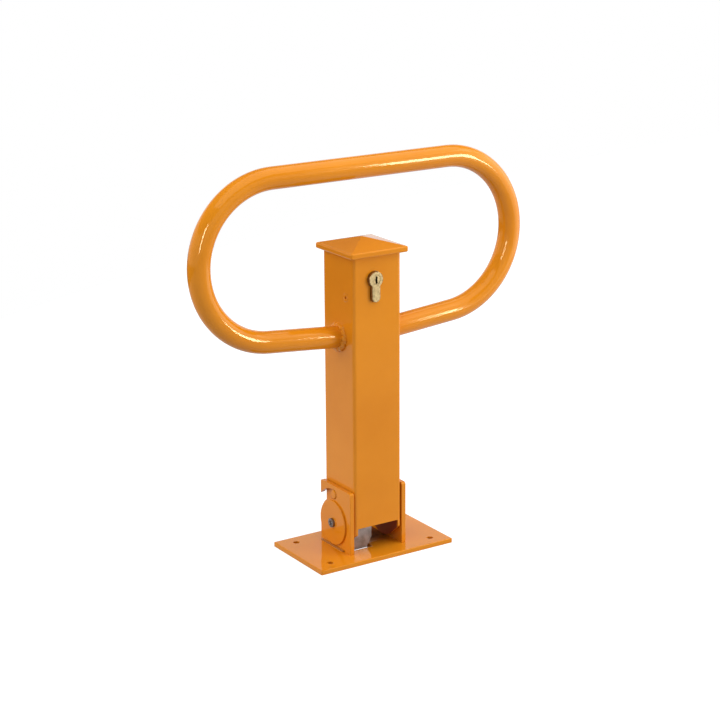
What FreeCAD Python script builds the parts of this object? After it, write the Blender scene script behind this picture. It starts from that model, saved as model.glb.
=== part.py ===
import FreeCAD, Part
import math
import os

# Fold-down parking space lock: a square post with a wide hoop, hinged between two ears on a
# base plate and held upright by a key-driven bar that drops into the plate.
# Millimetres, +Z up, key side towards -Y, origin at the middle of the plate's underside.

# Base plate
PLATE_LENGTH = 170.0
PLATE_WIDTH = 100.0
PLATE_THICK = 5.0
PLATE_CORNER_R = 1.0
PLATE_EDGE_R = 0.8
ANCHOR_SPACING_X = 130.0
ANCHOR_SPACING_Y = 70.0
ANCHOR_HOLE_DIA = 7.0

# Post tube and its cut-out foot
POST_SIDE = 60.0
POST_WALL = 3.0
POST_CORNER_R = 3.5
POST_TOP_Z = 334.0
FOOT_CORNER_DROP = 7.0
FOOT_STRIP = 4.0
FOOT_WINDOW_R = 1.5
FOOT_REAR_STEP = 0.5

# Fold hinge: the pivot lies behind the post's middle, so the folded post lies clear of the plate
PIVOT_Y = 3.0
FOLD_CLEAR = 1.0
AXLE_DIA = 16.0
AXLE_SEAT_CLEAR = 0.05
SLEEVE_WALL = 2.0
BUSH_WALL = 1.0
BUSH_LENGTH = 14.0
BUSH_FLANGE_DIA = 26.0
BUSH_PRESS_GAP = 0.02
BUSH_RUN_CLEAR = 0.04
BUSH_SIDE_CLEAR = 0.2
WELD_GAP = 0.05

# Ears, their curved stop slot and the stop pin
EAR_GAP = 1.0
EAR_THICK = 5.0
EAR_ROOF = 4.5
EAR_FRONT_R = 3.0
EAR_REAR_R = 2.0
EAR_WELD_LEG = 2.6
EAR_WELD_FRONT_INSET = 12.0
EAR_WELD_REAR_INSET = 2.5
STOP_PIN_DIA = 10.0
STOP_PIN_PROUD = 1.0
STOP_PIN_CHAMFER = 0.8
STOP_SLOT_CLEAR = 0.5

# Axle discs and their screws
DISC_THICK = 2.0
DISC_EDGE_R = 0.6
DISC_WELD_CLEAR = 0.4
DISC_PIN_CLEAR = 2.0
AXLE_SCREW_DIA = 6.0
AXLE_SCREW_LENGTH = 15.0
AXLE_SCREW_HEAD_DIA = 10.0
AXLE_SCREW_HEAD = 2.4
AXLE_SCREW_CLEAR = 0.3
AXLE_SCREW_THREAD_GAP = 0.05
AXLE_HOLE_EXTRA = 2.0
AXLE_SOCKET_FLATS = 5.0
AXLE_SOCKET_DEPTH = 1.6

# Hoop
HOOP_TUBE_DIA = 24.0
HOOP_WALL = 2.0
HOOP_BEND_R = 86.4
HOOP_BEND_X = 109.1
HOOP_HEIGHT = 89.3
HOOP_DROOP_DEG = 5.0
HOOP_WELD_R = 3.0

# Post cap
CAP_OVERHANG = 5.8
CAP_RIM = 6.5
CAP_RIM_R = 1.8
CAP_CORNER_R = 2.0
CAP_RISE = 8.5
CAP_TIP = 2.0
CAP_WALL = 3.0
CAP_SPIGOT = 6.0
CAP_SPIGOT_WALL = 5.0
CAP_SPIGOT_CLEAR = 0.5

# Profile half cylinder with its plug, cam and fixing screw
LOCK_X = -4.0
LOCK_DROP = 25.0
CYLINDER_ROUND_DIA = 17.0
CYLINDER_SLAB = 10.0
CYLINDER_HEIGHT = 33.0
CYLINDER_FRONT = 20.0
CYLINDER_REAR = 10.0
CYLINDER_PROUD = 4.5
CYLINDER_CHAMFER = 0.5
CYLINDER_HOLE_CLEAR = 0.3
CYLINDER_BACK_WALL = 1.5
PLUG_DIA = 10.0
PLUG_RUN_CLEAR = 0.04
PLUG_CHAMFER = 0.4
KEYWAY_WIDTH = 2.2
KEYWAY_RISE = 3.6
KEYWAY_DROP = 4.2
KEYWAY_GROOVE = 0.8
KEYWAY_DEPTH = 24.0
CAM_RADIUS = 15.2
CAM_HUB_WALL = 2.8
CAM_LEVER = 7.0
CAM_SWING_DEG = 90.0
CAM_SIDE_CLEAR = 0.2
CAM_SWEEP_CLEAR = 0.5
FIXING_SCREW_DIA = 5.0
FIXING_HEAD_DIA = 9.2
FIXING_SOCKET_FLATS = 3.0
FIXING_SOCKET_DEPTH = 1.8
FIXING_CLEAR = 0.3
FIXING_THREAD_GAP = 0.05
FIXING_END_GAP = 1.0

# Lock bracket behind the cylinder
BRACKET_THICK = 3.0
BRACKET_BEND_R = 2.0
BRACKET_FLANGE = 20.0
BRACKET_BAR_GAP = 1.5
BRACKET_BELOW = 38.0
BRACKET_ABOVE = 16.0

# Locking bar, its guides and its spring
BAR_WIDTH = 24.0
BAR_THICK = 10.0
BAR_WALL_GAP = 1.0
BAR_LIFT_CLEAR = 0.6
BAR_TRAVEL = 5.0
BAR_CHAMFER_X = 6.0
BAR_CHAMFER_Z = 11.0
BAR_SLOT_CLEAR = 1.0
BAR_CYLINDER_GAP = 1.5
BAR_CAM_CLEAR = 0.3
BAR_NOTCH_BACK = 0.8
BAR_TOP_ARM = 5.0
GUIDE_THICK = 4.0
GUIDE_CLEAR = 0.3
GUIDE_BACK = 3.7
GUIDE_CORNER = 2.5
LOWER_GUIDE_RISE = 60.0
UPPER_GUIDE_DROP = 30.0
SPRING_SEAT_THICK = 3.0
SPRING_SEAT_DROP = 20.0
SPRING_LENGTH = 28.0
SPRING_TURNS = 7
SPRING_WIRE = 1.2
SPRING_WIRE_HEIGHT = 1.6
SPRING_SIDE_GAP = 0.3
SPRING_END_GAP = 0.1
PEG_SPRING_GAP = 0.5
PEG_SEATED = 6.0
PEG_PROUD = 7.0
PEG_PRESS_GAP = 0.02

# Places worked out from the sizes above
POST_HALF = POST_SIDE / 2
POST_INNER = POST_HALF - POST_WALL
PIVOT_Z = PLATE_THICK + FOLD_CLEAR + POST_HALF - PIVOT_Y
FOOT_R = POST_HALF - PIVOT_Y - FOOT_REAR_STEP
EAR_INNER_X = POST_HALF + EAR_GAP
EAR_OUTER_X = EAR_INNER_X + EAR_THICK
DISC_R = PIVOT_Z - PLATE_THICK - EAR_WELD_LEG - DISC_WELD_CLEAR
STOP_R = DISC_R + DISC_PIN_CLEAR + STOP_PIN_DIA / 2
STOP_SLOT_R = STOP_PIN_DIA / 2 + STOP_SLOT_CLEAR
EAR_REAR_Y = PIVOT_Y + STOP_R - STOP_SLOT_R
EAR_TOP_Z = PIVOT_Z + STOP_R + STOP_SLOT_R + EAR_ROOF
SLEEVE_INNER_R = AXLE_DIA / 2 + BUSH_RUN_CLEAR + BUSH_WALL + BUSH_PRESS_GAP
SLEEVE_R = SLEEVE_INNER_R + SLEEVE_WALL
LOCK_Z = POST_TOP_Z - LOCK_DROP
LOCK_FRONT_Y = -POST_HALF - CYLINDER_PROUD
CAM_Y = LOCK_FRONT_Y + CYLINDER_FRONT
LOCK_BACK_Y = CAM_Y + CYLINDER_REAR
CYLINDER_BOTTOM_Z = LOCK_Z + CYLINDER_ROUND_DIA / 2 - CYLINDER_HEIGHT
CAM_HALF_WIDTH = BAR_THICK / 2 - CAM_SIDE_CLEAR
CAM_SWEEP_R = CAM_RADIUS + CAM_SWEEP_CLEAR
FIXING_Z = (LOCK_Z - CAM_SWEEP_R + CYLINDER_BOTTOM_Z) / 2
BAR_LEFT_X = -POST_INNER + BAR_WALL_GAP
BAR_RIGHT_X = BAR_LEFT_X + BAR_WIDTH
BAR_FRONT_Y = CAM_Y - BAR_THICK / 2
BAR_BACK_Y = CAM_Y + BAR_THICK / 2
BAR_TIP_Z = PLATE_THICK + BAR_LIFT_CLEAR
BAR_NECK_X = LOCK_X - CYLINDER_SLAB / 2 - BAR_CYLINDER_GAP
BRACKET_FRONT_Y = BAR_BACK_Y + BRACKET_BAR_GAP
SPRING_SEAT_Z = CYLINDER_BOTTOM_Z - SPRING_SEAT_DROP
BAR_SHOULDER_Z = SPRING_SEAT_Z - SPRING_LENGTH - SPRING_END_GAP
SPRING_X = (BAR_NECK_X + BAR_RIGHT_X) / 2
SPRING_MEAN_R = (BAR_RIGHT_X - BAR_NECK_X) / 2 - SPRING_SIDE_GAP - SPRING_WIRE / 2
PEG_R = SPRING_MEAN_R - SPRING_WIRE / 2 - PEG_SPRING_GAP
LOWER_GUIDE_Z = PIVOT_Z + LOWER_GUIDE_RISE
UPPER_GUIDE_Z = BAR_SHOULDER_Z - UPPER_GUIDE_DROP
# Length that a cutting shape runs past the face it cuts
PAST = 1.0
# Largest difference at which two places or directions count as the same
LEVEL_TOL = 1e-6

X_AXIS = FreeCAD.Vector(1, 0, 0)
Y_AXIS = FreeCAD.Vector(0, 1, 0)
Z_AXIS = FreeCAD.Vector(0, 0, 1)


def vec(x, y, z):
    return FreeCAD.Vector(x, y, z)


def block(x0, x1, y0, y1, z0, z1):
    return Part.makeBox(x1 - x0, y1 - y0, z1 - z0, vec(x0, y0, z0))


def rod_x(radius, x0, x1, y, z):
    return Part.makeCylinder(radius, x1 - x0, vec(x0, y, z), X_AXIS)


def rod_y(radius, y0, y1, x, z):
    return Part.makeCylinder(radius, y1 - y0, vec(x, y0, z), Y_AXIS)


def rod_z(radius, z0, z1, x, y):
    return Part.makeCylinder(radius, z1 - z0, vec(x, y, z0), Z_AXIS)


def line(start, end):
    return Part.LineSegment(start, end).toShape()


def arc(start, middle, end):
    return Part.Arc(start, middle, end).toShape()


def face_of(edges):
    return Part.Face(Part.Wire(edges))


def polygon_face(points):
    return Part.Face(Part.makePolygon(points + [points[0]]))


def edges_along(shape, axis):
    """Straight edges of a shape that run along an axis."""
    found = []
    for edge in shape.Edges:
        if not isinstance(edge.Curve, Part.Line):
            continue
        if abs(abs(edge.Curve.Direction.dot(axis)) - 1) < LEVEL_TOL:
            found.append(edge)
    return found


def rounded_block(side, z0, z1, corner_r):
    """Square block about the Z axis with rounded upright corners."""
    half = side / 2
    shape = block(-half, half, -half, half, z0, z1)
    return shape.makeFillet(corner_r, edges_along(shape, Z_AXIS))


def mirror_x(shape):
    return shape.mirror(vec(0, 0, 0), X_AXIS)


def hexagon_x(flats, x0, x1, y, z):
    """Six-sided prism along X."""
    corner_r = flats / math.sqrt(3)
    points = []
    for step in range(6):
        angle = math.radians(60 * step)
        points.append(vec(x0, y + corner_r * math.cos(angle), z + corner_r * math.sin(angle)))
    return polygon_face(points).extrude(vec(x1 - x0, 0, 0))


def cylinder_profile(y0, y1, clear):
    """Round-topped lock profile between two depths, grown by a clearance."""
    round_r = CYLINDER_ROUND_DIA / 2 + clear
    half = CYLINDER_SLAB / 2 + clear
    shoulder_z = LOCK_Z - math.sqrt(round_r ** 2 - half ** 2)
    foot_z = CYLINDER_BOTTOM_Z + CYLINDER_SLAB / 2
    right_top = vec(LOCK_X + half, y0, shoulder_z)
    left_top = vec(LOCK_X - half, y0, shoulder_z)
    right_foot = vec(LOCK_X + half, y0, foot_z)
    left_foot = vec(LOCK_X - half, y0, foot_z)
    outline = face_of([
        arc(right_top, vec(LOCK_X, y0, LOCK_Z + round_r), left_top),
        line(left_top, left_foot),
        arc(left_foot, vec(LOCK_X, y0, foot_z - half), right_foot),
        line(right_foot, right_top),
    ])
    return outline.extrude(vec(0, y1 - y0, 0))


def make_base_plate():
    """Plate with rounded edges, four anchor holes and the locking bar's slot."""
    half_x = PLATE_LENGTH / 2
    half_y = PLATE_WIDTH / 2
    plate = block(-half_x, half_x, -half_y, half_y, 0, PLATE_THICK)
    plate = plate.makeFillet(PLATE_CORNER_R, edges_along(plate, Z_AXIS))
    top_edges = [edge for edge in plate.Edges if edge.BoundBox.ZMin > PLATE_THICK - LEVEL_TOL]
    plate = plate.makeFillet(PLATE_EDGE_R, top_edges)
    for side_x in (-1, 1):
        for side_y in (-1, 1):
            hole_x = side_x * ANCHOR_SPACING_X / 2
            hole_y = side_y * ANCHOR_SPACING_Y / 2
            plate = plate.cut(rod_z(ANCHOR_HOLE_DIA / 2, -PAST, PLATE_THICK + PAST, hole_x, hole_y))
    slot = block(BAR_LEFT_X - BAR_SLOT_CLEAR, BAR_RIGHT_X + BAR_SLOT_CLEAR,
                 BAR_FRONT_Y - BAR_SLOT_CLEAR, BAR_BACK_Y + BAR_SLOT_CLEAR,
                 -PAST, PLATE_THICK + PAST)
    return plate.cut(slot)


def ear_outline(x):
    """Side view of an ear: curved slot about the pivot, closed above it and open to the rear."""
    front = -POST_HALF
    slot_inner = STOP_R - STOP_SLOT_R
    slot_outer = STOP_R + STOP_SLOT_R
    hook_rise = math.sqrt(slot_outer ** 2 - slot_inner ** 2)
    hook_mid = (math.pi / 2 + math.asin(hook_rise / slot_outer)) / 2
    diagonal = math.sqrt(0.5)
    front_inset = EAR_FRONT_R * (1 - diagonal)
    rear_inset = EAR_REAR_R * (1 - diagonal)
    foot_front = vec(x, front, PLATE_THICK)
    foot_rear = vec(x, EAR_REAR_Y, PLATE_THICK)
    shoulder = vec(x, EAR_REAR_Y, PIVOT_Z)
    slot_floor = vec(x, PIVOT_Y, PIVOT_Z + slot_inner)
    slot_end = vec(x, PIVOT_Y - STOP_SLOT_R, PIVOT_Z + STOP_R)
    slot_roof = vec(x, PIVOT_Y, PIVOT_Z + slot_outer)
    hook_tip = vec(x, EAR_REAR_Y, PIVOT_Z + hook_rise)
    rear_low = vec(x, EAR_REAR_Y, EAR_TOP_Z - EAR_REAR_R)
    rear_mid = vec(x, EAR_REAR_Y - rear_inset, EAR_TOP_Z - rear_inset)
    rear_top = vec(x, EAR_REAR_Y - EAR_REAR_R, EAR_TOP_Z)
    front_top = vec(x, front + EAR_FRONT_R, EAR_TOP_Z)
    front_mid = vec(x, front + front_inset, EAR_TOP_Z - front_inset)
    front_low = vec(x, front, EAR_TOP_Z - EAR_FRONT_R)
    shoulder_mid = vec(x, PIVOT_Y + slot_inner * diagonal, PIVOT_Z + slot_inner * diagonal)
    roof_mid = vec(x, PIVOT_Y + slot_outer * math.cos(hook_mid),
                   PIVOT_Z + slot_outer * math.sin(hook_mid))
    return face_of([
        line(foot_front, foot_rear),
        line(foot_rear, shoulder),
        arc(shoulder, shoulder_mid, slot_floor),
        arc(slot_floor, slot_end, slot_roof),
        arc(slot_roof, roof_mid, hook_tip),
        line(hook_tip, rear_low),
        arc(rear_low, rear_mid, rear_top),
        line(rear_top, front_top),
        arc(front_top, front_mid, front_low),
        line(front_low, foot_front),
    ])


def make_right_ear():
    """Ear with its axle seat and the fillet weld along its outer foot."""
    ear = ear_outline(EAR_INNER_X).extrude(vec(EAR_THICK, 0, 0))
    ear = ear.cut(rod_x(AXLE_DIA / 2 + AXLE_SEAT_CLEAR, EAR_INNER_X - PAST, EAR_OUTER_X + PAST,
                        PIVOT_Y, PIVOT_Z))
    weld_front = -POST_HALF + EAR_WELD_FRONT_INSET
    weld_rear = EAR_REAR_Y - EAR_WELD_REAR_INSET
    weld = polygon_face([
        vec(EAR_OUTER_X, weld_front, PLATE_THICK),
        vec(EAR_OUTER_X + EAR_WELD_LEG, weld_front, PLATE_THICK),
        vec(EAR_OUTER_X, weld_front, PLATE_THICK + EAR_WELD_LEG),
    ]).extrude(vec(0, weld_rear - weld_front, 0))
    return ear.fuse(weld)


def make_hinge_axle():
    """Plain axle, flush with the ears, tapped at both ends."""
    axle = rod_x(AXLE_DIA / 2, -EAR_OUTER_X, EAR_OUTER_X, PIVOT_Y, PIVOT_Z)
    hole_r = AXLE_SCREW_DIA / 2 + AXLE_SCREW_THREAD_GAP
    hole_in = EAR_OUTER_X - AXLE_SCREW_LENGTH - AXLE_HOLE_EXTRA
    hole = rod_x(hole_r, hole_in, EAR_OUTER_X + PAST, PIVOT_Y, PIVOT_Z)
    return axle.cut(hole).cut(mirror_x(hole))


def make_right_disc():
    """Round retaining plate with a hole for its screw."""
    face_x = EAR_OUTER_X + DISC_THICK
    disc = rod_x(DISC_R, EAR_OUTER_X, face_x, PIVOT_Y, PIVOT_Z)
    rim = [edge for edge in disc.Edges if edge.BoundBox.XMin > face_x - LEVEL_TOL]
    disc = disc.makeFillet(DISC_EDGE_R, rim)
    shank_r = AXLE_SCREW_DIA / 2 + AXLE_SCREW_CLEAR
    return disc.cut(rod_x(shank_r, EAR_OUTER_X - PAST, face_x + PAST, PIVOT_Y, PIVOT_Z))


def make_right_axle_screw():
    """Low-head socket screw that holds the disc to the axle."""
    seat_x = EAR_OUTER_X + DISC_THICK
    head_x = seat_x + AXLE_SCREW_HEAD
    head = rod_x(AXLE_SCREW_HEAD_DIA / 2, seat_x, head_x, PIVOT_Y, PIVOT_Z)
    socket = hexagon_x(AXLE_SOCKET_FLATS, head_x - AXLE_SOCKET_DEPTH, head_x + PAST, PIVOT_Y, PIVOT_Z)
    shank = rod_x(AXLE_SCREW_DIA / 2, seat_x - AXLE_SCREW_LENGTH, seat_x, PIVOT_Y, PIVOT_Z)
    return head.fuse(shank).cut(socket)


def foot_waste():
    """What is cut from the tube's lower end to leave two lugs, rounded about the pivot."""
    front = -POST_HALF
    corner_y = front - PIVOT_Y
    corner_z = -FOOT_CORNER_DROP
    reach = math.hypot(corner_y, corner_z)
    tangent_angle = math.atan2(corner_z, corner_y) + math.acos(FOOT_R / reach)
    tangent_y = FOOT_R * math.cos(tangent_angle)
    tangent_z = FOOT_R * math.sin(tangent_angle)
    slope = (tangent_z - corner_z) / (tangent_y - corner_y)
    middle_angle = tangent_angle / 2
    past_front = corner_y - PAST
    past_rear = POST_HALF - PIVOT_Y + PAST
    below = -FOOT_R - POST_WALL

    def at(y, z):
        return vec(-POST_HALF - PAST, PIVOT_Y + y, PIVOT_Z + z)

    lug_rear = at(FOOT_R, 0)
    lug_front = at(tangent_y, tangent_z)
    lug_bottom = at(FOOT_R * math.cos(middle_angle), FOOT_R * math.sin(middle_angle))
    outer_front = at(past_front, corner_z - slope * PAST)
    outline = face_of([
        line(at(past_rear, 0), lug_rear),
        arc(lug_rear, lug_bottom, lug_front),
        line(lug_front, outer_front),
        line(outer_front, at(past_front, below)),
        line(at(past_front, below), at(past_rear, below)),
        line(at(past_rear, below), at(past_rear, 0)),
    ])
    return outline.extrude(vec(POST_SIDE + 2 * PAST, 0, 0))


def fixing_screw_cone(grow):
    """Countersink of the fixing screw at the post's left face, grown by a clearance."""
    head_r = FIXING_HEAD_DIA / 2 + grow
    shank_r = FIXING_SCREW_DIA / 2 + grow
    depth = (FIXING_HEAD_DIA - FIXING_SCREW_DIA) / 2
    return Part.makeCone(head_r, shank_r, depth, vec(-POST_HALF, CAM_Y, FIXING_Z), X_AXIS)


def make_post_tube():
    """Square tube with a cut-out foot, a lock opening and holes for what is welded through it."""
    bottom = PIVOT_Z - FOOT_R - PAST
    tube = rounded_block(POST_SIDE, bottom, POST_TOP_Z, POST_CORNER_R)
    bore = rounded_block(2 * POST_INNER, bottom - PAST, POST_TOP_Z + PAST, POST_CORNER_R - POST_WALL)
    tube = tube.cut(bore).cut(foot_waste())
    window_half = POST_HALF - FOOT_STRIP
    window = block(-window_half, window_half, -POST_HALF - PAST, -POST_INNER + PAST / 2, 0, PIVOT_Z)
    window_top = [edge for edge in edges_along(window, Y_AXIS) if edge.BoundBox.ZMin > PIVOT_Z - LEVEL_TOL]
    tube = tube.cut(window.makeFillet(FOOT_WINDOW_R, window_top))
    tube = tube.cut(cylinder_profile(-POST_HALF - PAST, -POST_INNER + PAST, CYLINDER_HOLE_CLEAR))
    tube = tube.cut(rod_x(SLEEVE_R + WELD_GAP, -POST_HALF - PAST, POST_HALF + PAST, PIVOT_Y, PIVOT_Z))
    tube = tube.cut(rod_x(STOP_PIN_DIA / 2 + WELD_GAP, -POST_HALF - PAST, POST_HALF + PAST,
                          PIVOT_Y, PIVOT_Z + STOP_R))
    screw_r = FIXING_SCREW_DIA / 2 + FIXING_CLEAR
    tube = tube.cut(rod_x(screw_r, -POST_HALF - PAST, -POST_INNER + PAST, CAM_Y, FIXING_Z))
    return tube.cut(fixing_screw_cone(FIXING_THREAD_GAP))


def make_post_cap():
    """Low hollow pyramid on a rounded rim, with a spigot that fits inside the tube."""
    side = POST_SIDE + 2 * CAP_OVERHANG
    rim_top = POST_TOP_Z + CAP_RIM
    rim = rounded_block(side, POST_TOP_Z, rim_top, CAP_CORNER_R)
    level_edges = [edge for edge in rim.Edges if edge.BoundBox.ZLength < LEVEL_TOL]
    rim = rim.makeFillet(CAP_RIM_R, level_edges)

    def square_ring(width, z):
        half = width / 2
        return Part.makePolygon([vec(-half, -half, z), vec(half, -half, z), vec(half, half, z),
                                 vec(-half, half, z), vec(-half, -half, z)])

    pyramid_side = side - 2 * CAP_RIM_R
    pyramid = Part.makeLoft([square_ring(pyramid_side, rim_top), square_ring(CAP_TIP, rim_top + CAP_RISE)],
                            True, True)
    spigot_side = 2 * (POST_INNER - CAP_SPIGOT_CLEAR)
    spigot = rounded_block(spigot_side, POST_TOP_Z - CAP_SPIGOT, POST_TOP_Z, POST_CORNER_R - POST_WALL)
    pocket_side = spigot_side - 2 * CAP_SPIGOT_WALL
    pocket_top = rim_top - CAP_WALL
    pocket_half = pocket_side / 2
    pocket = block(-pocket_half, pocket_half, -pocket_half, pocket_half,
                   POST_TOP_Z - CAP_SPIGOT - PAST, pocket_top)
    hollow = Part.makeLoft([square_ring(pocket_side, pocket_top),
                            square_ring(CAP_TIP, pocket_top + CAP_RISE * pocket_side / pyramid_side)],
                           True, True)
    return rim.fuse([pyramid, spigot]).removeSplitter().cut(pocket.fuse(hollow))


def make_hoop():
    """Round tube bent through two wide ends, with a weld bead where each leg meets the post."""
    bend_z = POST_TOP_Z + HOOP_HEIGHT - HOOP_BEND_R
    droop = math.radians(HOOP_DROOP_DEG)
    leg_x = HOOP_BEND_X + HOOP_BEND_R * math.sin(droop)
    leg_z = bend_z - HOOP_BEND_R * math.cos(droop)

    def leg_at(x):
        return vec(x, 0, leg_z - (leg_x - x) * math.tan(droop))

    def flip(point):
        return vec(-point.x, point.y, point.z)

    inside = leg_at(POST_HALF - POST_WALL)
    bend_low = vec(leg_x, 0, leg_z)
    bend_side = vec(HOOP_BEND_X + HOOP_BEND_R, 0, bend_z)
    bend_top = vec(HOOP_BEND_X, 0, bend_z + HOOP_BEND_R)
    path = Part.Wire([
        line(inside, bend_low),
        arc(bend_low, bend_side, bend_top),
        line(bend_top, flip(bend_top)),
        arc(flip(bend_top), flip(bend_side), flip(bend_low)),
        line(flip(bend_low), flip(inside)),
    ])
    along = vec(math.cos(droop), 0, math.sin(droop))

    def swept(radius):
        ring = Part.Wire([Part.Circle(inside, along, radius).toShape()])
        return path.makePipeShell([ring], True, True)

    hoop = swept(HOOP_TUBE_DIA / 2)
    bore = swept(HOOP_TUBE_DIA / 2 - HOOP_WALL)
    bead = Part.makeTorus(HOOP_TUBE_DIA / 2, HOOP_WELD_R, leg_at(POST_HALF), along)
    hoop = hoop.fuse([bead, mirror_x(bead)]).cut(bore)
    reach = HOOP_TUBE_DIA + HOOP_WELD_R
    post_z = leg_at(POST_HALF).z
    return hoop.cut(block(-POST_HALF, POST_HALF, -reach, reach, post_z - reach, post_z + reach))


def make_hinge_sleeve():
    """Tube welded across the foot of the post, flush with its sides."""
    sleeve = rod_x(SLEEVE_R, -POST_HALF, POST_HALF, PIVOT_Y, PIVOT_Z)
    return sleeve.cut(rod_x(SLEEVE_INNER_R, -POST_HALF - PAST, POST_HALF + PAST, PIVOT_Y, PIVOT_Z))


def make_right_bush():
    """Flanged bush pressed into the sleeve; its flange spaces the post from the ear."""
    outer_r = SLEEVE_INNER_R - BUSH_PRESS_GAP
    flange_x = POST_HALF + EAR_GAP - BUSH_SIDE_CLEAR
    body = rod_x(outer_r, POST_HALF - BUSH_LENGTH, POST_HALF, PIVOT_Y, PIVOT_Z)
    flange = rod_x(BUSH_FLANGE_DIA / 2, POST_HALF, flange_x, PIVOT_Y, PIVOT_Z)
    run_r = AXLE_DIA / 2 + BUSH_RUN_CLEAR
    bore = rod_x(run_r, POST_HALF - BUSH_LENGTH - PAST, flange_x + PAST, PIVOT_Y, PIVOT_Z)
    return body.fuse(flange).cut(bore)


def make_stop_pin():
    """Cross pin through the post whose ends run in the ears' curved slots."""
    end_x = EAR_OUTER_X + STOP_PIN_PROUD
    pin = rod_x(STOP_PIN_DIA / 2, -end_x, end_x, PIVOT_Y, PIVOT_Z + STOP_R)
    rims = [edge for edge in pin.Edges if isinstance(edge.Curve, Part.Circle)]
    return pin.makeChamfer(STOP_PIN_CHAMFER, rims)


def make_lock_bracket():
    """Bent channel welded between the post's sides, with an opening for the cylinder's back."""
    inner = POST_INNER
    front = BRACKET_FRONT_Y
    rear = front + BRACKET_FLANGE
    low = LOCK_Z - BRACKET_BELOW
    high = LOCK_Z + BRACKET_ABOVE
    outer = block(-inner, inner, front, rear, low, high)
    outer_bends = [edge for edge in edges_along(outer, Z_AXIS) if edge.BoundBox.YMax < front + LEVEL_TOL]
    outer = outer.makeFillet(BRACKET_BEND_R + BRACKET_THICK, outer_bends)
    web = front + BRACKET_THICK
    hollow = block(-inner + BRACKET_THICK, inner - BRACKET_THICK, web, rear + PAST,
                   low - PAST, high + PAST)
    inner_bends = [edge for edge in edges_along(hollow, Z_AXIS) if edge.BoundBox.YMax < web + LEVEL_TOL]
    hollow = hollow.makeFillet(BRACKET_BEND_R, inner_bends)
    return outer.cut(hollow).cut(cylinder_profile(front - PAST, web + PAST, CYLINDER_HOLE_CLEAR))


def lock_front_edges(shape):
    """Edges round the lock's front face."""
    return [edge for edge in shape.Edges if edge.BoundBox.YMax < LOCK_FRONT_Y + LEVEL_TOL]


def make_cylinder_body():
    """Half cylinder cut away round the cam, with a bore for the plug and a fixing hole."""
    body = cylinder_profile(LOCK_FRONT_Y, LOCK_BACK_Y, 0)
    body = body.makeChamfer(CYLINDER_CHAMFER, lock_front_edges(body))
    body = body.cut(rod_y(PLUG_DIA / 2 + PLUG_RUN_CLEAR, LOCK_FRONT_Y - PAST,
                          LOCK_BACK_Y - CYLINDER_BACK_WALL, LOCK_X, LOCK_Z))
    window_half = BAR_THICK / 2 + CAM_SIDE_CLEAR
    body = body.cut(block(LOCK_X - CYLINDER_ROUND_DIA, LOCK_X + CYLINDER_ROUND_DIA,
                          CAM_Y - window_half, CAM_Y + window_half,
                          LOCK_Z - CAM_SWEEP_R, LOCK_Z + CYLINDER_ROUND_DIA))
    screw_r = FIXING_SCREW_DIA / 2 + FIXING_THREAD_GAP
    half = CYLINDER_SLAB / 2 + PAST
    return body.cut(rod_x(screw_r, LOCK_X - half, LOCK_X + half, CAM_Y, FIXING_Z))


def make_cylinder_plug():
    """Turning plug with an upright keyway that has a side groove."""
    tail = LOCK_BACK_Y - CYLINDER_BACK_WALL - CAM_SIDE_CLEAR
    plug = rod_y(PLUG_DIA / 2, LOCK_FRONT_Y, tail, LOCK_X, LOCK_Z)
    plug = plug.makeChamfer(PLUG_CHAMFER, lock_front_edges(plug))
    half = KEYWAY_WIDTH / 2
    slot_end = LOCK_FRONT_Y + KEYWAY_DEPTH
    front = LOCK_FRONT_Y - PAST
    slot = block(LOCK_X - half, LOCK_X + half, front, slot_end, LOCK_Z - KEYWAY_DROP, LOCK_Z + KEYWAY_RISE)
    groove = block(LOCK_X - half - KEYWAY_GROOVE, LOCK_X, front, slot_end,
                   LOCK_Z - KEYWAY_GROOVE, LOCK_Z + KEYWAY_GROOVE)
    return plug.cut(slot.fuse(groove))


def lever_angle():
    """Cam lever's direction at rest, half a swing above pointing left."""
    return math.radians(180 - CAM_SWING_DEG / 2)


def make_cylinder_cam():
    """Hub round the plug with one lever that reaches into the bar's notch."""
    near = CAM_Y - CAM_HALF_WIDTH
    far = CAM_Y + CAM_HALF_WIDTH
    hub_r = PLUG_DIA / 2 + CAM_HUB_WALL
    tip_r = CAM_LEVER / 2
    reach = CAM_RADIUS - tip_r
    out_x = math.cos(lever_angle())
    out_z = math.sin(lever_angle())

    def at(along, across):
        return vec(LOCK_X + along * out_x - across * out_z, near, LOCK_Z + along * out_z + across * out_x)

    lever = face_of([
        line(at(0, -tip_r), at(reach, -tip_r)),
        arc(at(reach, -tip_r), at(CAM_RADIUS, 0), at(reach, tip_r)),
        line(at(reach, tip_r), at(0, tip_r)),
        line(at(0, tip_r), at(0, -tip_r)),
    ]).extrude(vec(0, far - near, 0))
    cam = rod_y(hub_r, near, far, LOCK_X, LOCK_Z).fuse(lever)
    return cam.cut(rod_y(PLUG_DIA / 2 + PEG_PRESS_GAP, near - PAST, far + PAST, LOCK_X, LOCK_Z))


def make_cylinder_screw():
    """Long countersunk screw from the post's left face into the cylinder."""
    head = fixing_screw_cone(0)
    end_x = LOCK_X + CYLINDER_SLAB / 2 - FIXING_END_GAP
    shank = rod_x(FIXING_SCREW_DIA / 2, -POST_HALF, end_x, CAM_Y, FIXING_Z)
    socket = hexagon_x(FIXING_SOCKET_FLATS, -POST_HALF - PAST, -POST_HALF + FIXING_SOCKET_DEPTH,
                       CAM_Y, FIXING_Z)
    return head.fuse(shank).cut(socket)


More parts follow.
